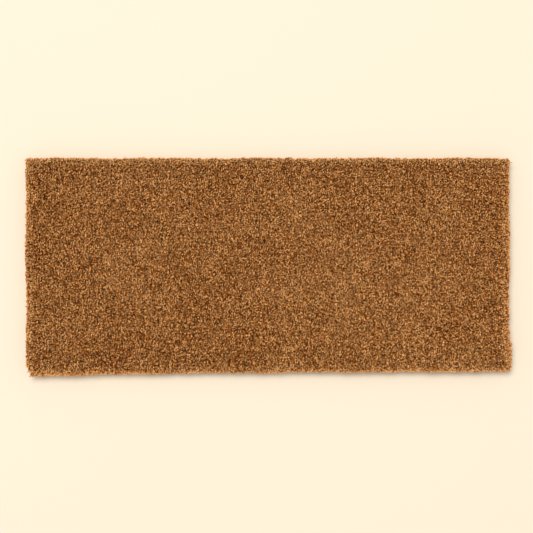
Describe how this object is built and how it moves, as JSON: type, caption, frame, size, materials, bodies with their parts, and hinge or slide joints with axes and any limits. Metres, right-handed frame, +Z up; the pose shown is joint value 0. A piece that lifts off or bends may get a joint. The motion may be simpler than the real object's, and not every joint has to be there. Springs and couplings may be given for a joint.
{
  "type": "door mat",
  "caption": "Hand-woven coir fibre door mat: rows of stiff brown tufts on a warp and weft ground, with lashed cords along both short ends.",
  "frame": {"origin": "on the floor, under the middle of the mat", "axes": "+X along the mat's length, +Y across its width towards the back edge, +Z up from the floor to the tips of the pile"},
  "size_m": [1, 0.45, 0.03],
  "materials": {
    "coir_pile": "rough",
    "coir_yarn": "rough",
    "coir_cord": "rough"
  },
  "bodies": {
    "root": {"pile_rows_01": "coir_pile", "pile_rows_02": "coir_pile", "pile_rows_03": "coir_pile", "pile_rows_04": "coir_pile", "pile_rows_05": "coir_pile", "pile_rows_06": "coir_pile", "pile_rows_07": "coir_pile", "pile_rows_08": "coir_pile", "pile_rows_09": "coir_pile", "pile_rows_10": "coir_pile", "pile_rows_11": "coir_pile", "pile_rows_12": "coir_pile", "pile_rows_13": "coir_pile", "pile_rows_14": "coir_pile", "pile_rows_15": "coir_pile", "pile_rows_16": "coir_pile", "pile_rows_17": "coir_pile", "pile_rows_18": "coir_pile", "pile_rows_19": "coir_pile", "pile_rows_20": "coir_pile", "pile_rows_21": "coir_pile", "pile_rows_22": "coir_pile", "pile_rows_23": "coir_pile", "pile_rows_24": "coir_pile", "pile_rows_25": "coir_pile", "pile_rows_26": "coir_pile", "pile_rows_27": "coir_pile", "pile_rows_28": "coir_pile", "pile_rows_29": "coir_pile", "pile_rows_30": "coir_pile", "pile_rows_31": "coir_pile", "pile_rows_32": "coir_pile", "pile_rows_33": "coir_pile", "pile_rows_34": "coir_pile", "pile_rows_35": "coir_pile", "pile_rows_36": "coir_pile", "pile_rows_37": "coir_pile", "pile_rows_38": "coir_pile", "pile_rows_39": "coir_pile", "pile_rows_40": "coir_pile", "tight_warp": "coir_yarn", "slack_warp": "coir_yarn", "weft": "coir_yarn", "front_selvage_warp": "coir_yarn", "back_selvage_warp": "coir_yarn", "left_end_cord": "coir_cord", "right_end_cord": "coir_cord", "left_end_lashing": "coir_cord", "right_end_lashing": "coir_cord"}
  },
  "joints": []
}
